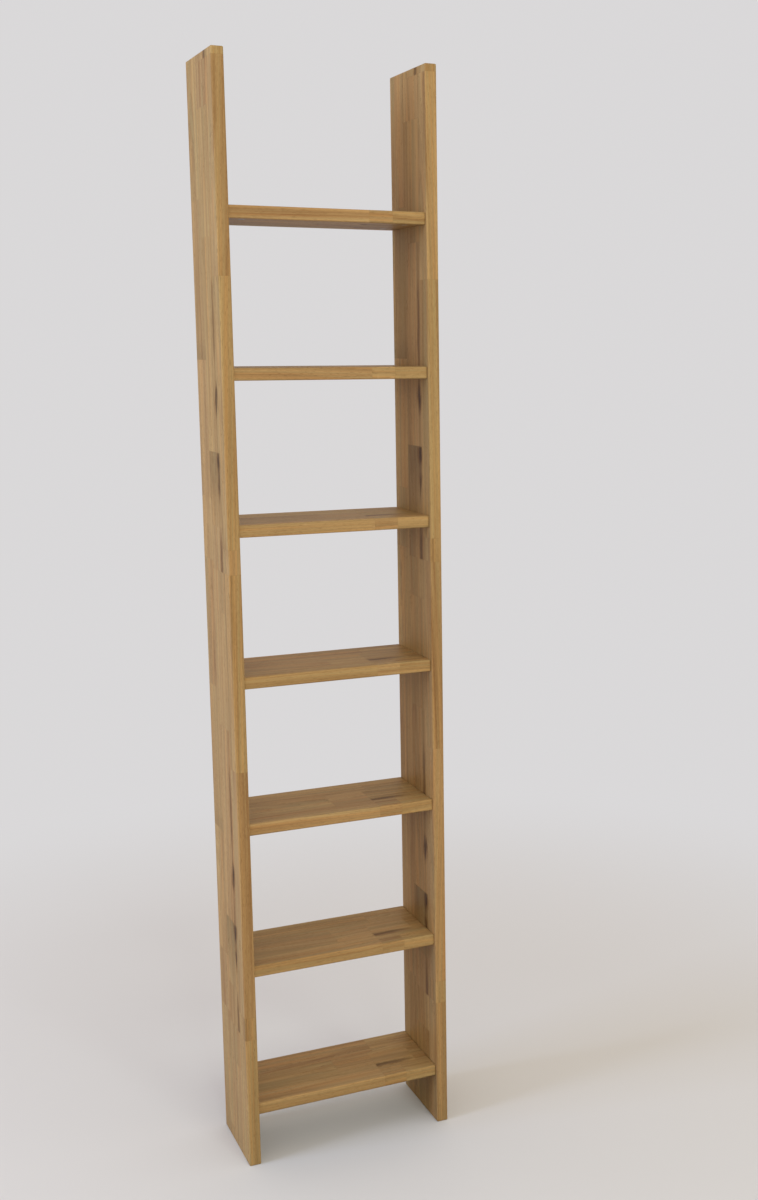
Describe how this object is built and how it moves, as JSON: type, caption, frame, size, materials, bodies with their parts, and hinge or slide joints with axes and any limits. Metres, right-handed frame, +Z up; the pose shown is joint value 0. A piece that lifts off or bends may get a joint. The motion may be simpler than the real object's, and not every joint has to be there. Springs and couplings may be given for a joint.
{
  "type": "bookcase",
  "caption": "Tall narrow open bookcase: two full-height solid oak sides with fixed shelves between them, doweled and drawn tight with hidden cam fittings. No back, no doors.",
  "frame": {"origin": "on the floor, at the middle of the footprint of the two sides", "axes": "+X to the right of someone facing the front, +Y from the front to the back, +Z up"},
  "size_m": [0.456, 0.2, 2.28],
  "materials": {
    "oak": "oiled wild oak, stave-glued boards",
    "dowel_beech": "raw turned beech with glue flutes",
    "bolt_zinc": "zinc-plated steel",
    "cam_zinc": "bare die-cast zinc alloy"
  },
  "bodies": {
    "root": {"left_side": "oak", "right_side": "oak", "shelf_1": "oak", "shelf_1_dowels": "dowel_beech", "shelf_1_bolts": "bolt_zinc", "shelf_1_cams": "cam_zinc", "shelf_2": "oak", "shelf_2_dowels": "dowel_beech", "shelf_2_bolts": "bolt_zinc", "shelf_2_cams": "cam_zinc", "shelf_3": "oak", "shelf_3_dowels": "dowel_beech", "shelf_3_bolts": "bolt_zinc", "shelf_3_cams": "cam_zinc", "shelf_4": "oak", "shelf_4_dowels": "dowel_beech", "shelf_4_bolts": "bolt_zinc", "shelf_4_cams": "cam_zinc", "shelf_5": "oak", "shelf_5_dowels": "dowel_beech", "shelf_5_bolts": "bolt_zinc", "shelf_5_cams": "cam_zinc", "shelf_6": "oak", "shelf_6_dowels": "dowel_beech", "shelf_6_bolts": "bolt_zinc", "shelf_6_cams": "cam_zinc", "shelf_7": "oak", "shelf_7_dowels": "dowel_beech", "shelf_7_bolts": "bolt_zinc", "shelf_7_cams": "cam_zinc"}
  },
  "joints": []
}
